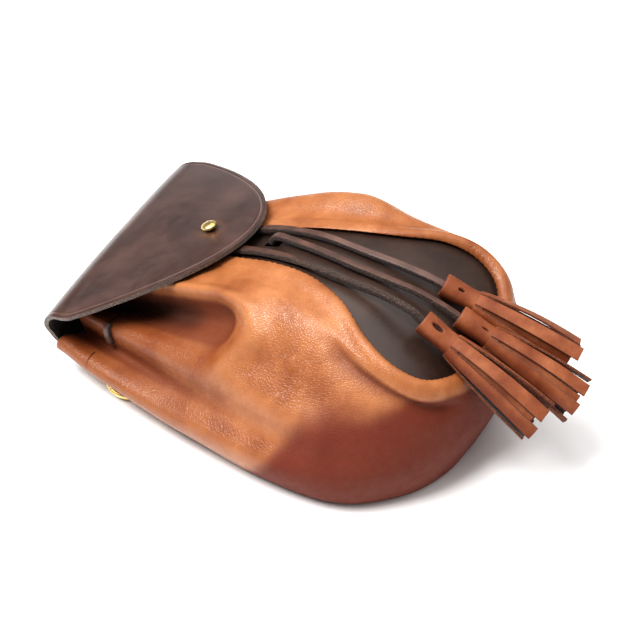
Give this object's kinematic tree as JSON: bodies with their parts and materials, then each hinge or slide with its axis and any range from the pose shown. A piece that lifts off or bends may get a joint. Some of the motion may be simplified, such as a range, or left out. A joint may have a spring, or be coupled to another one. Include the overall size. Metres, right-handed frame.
{
  "type": "sporran pouch",
  "caption": "Soft leather pouch with a folded flap held by a button stud, laced over its front with tasselled thongs and hung from rings behind.",
  "frame": {"origin": "middle of the box round the pouch without its laces and tassels, at the level of the surface that it lies on", "axes": "+Z out of the pouch's front, +Y towards its mouth and the fold of its flap, +X towards its far side"},
  "size_m": [0.1865, 0.2956, 0.0954],
  "materials": {
    "body_leather": "smooth full grain, waxed",
    "panel_leather": "smooth full grain, semi-gloss",
    "flap_leather": "mottled full grain, waxed",
    "thong_leather": "smooth, with rough cut edges",
    "tassel_leather": "matt, with light cut edges",
    "brass": "polished"
  },
  "bodies": {
    "root": {"pouch_body": "body_leather", "front_panel": "panel_leather", "flap": "flap_leather", "button_stud": "brass", "thong_near": "thong_leather", "thong_centre": "thong_leather", "thong_far": "thong_leather", "tassel_near": "tassel_leather", "tassel_centre": "tassel_leather", "tassel_far": "tassel_leather", "drawcord_near": "thong_leather", "drawcord_far": "thong_leather", "d_ring_near": "brass", "d_ring_far": "brass", "keeper_near": "flap_leather", "keeper_far": "flap_leather"}
  },
  "joints": []
}
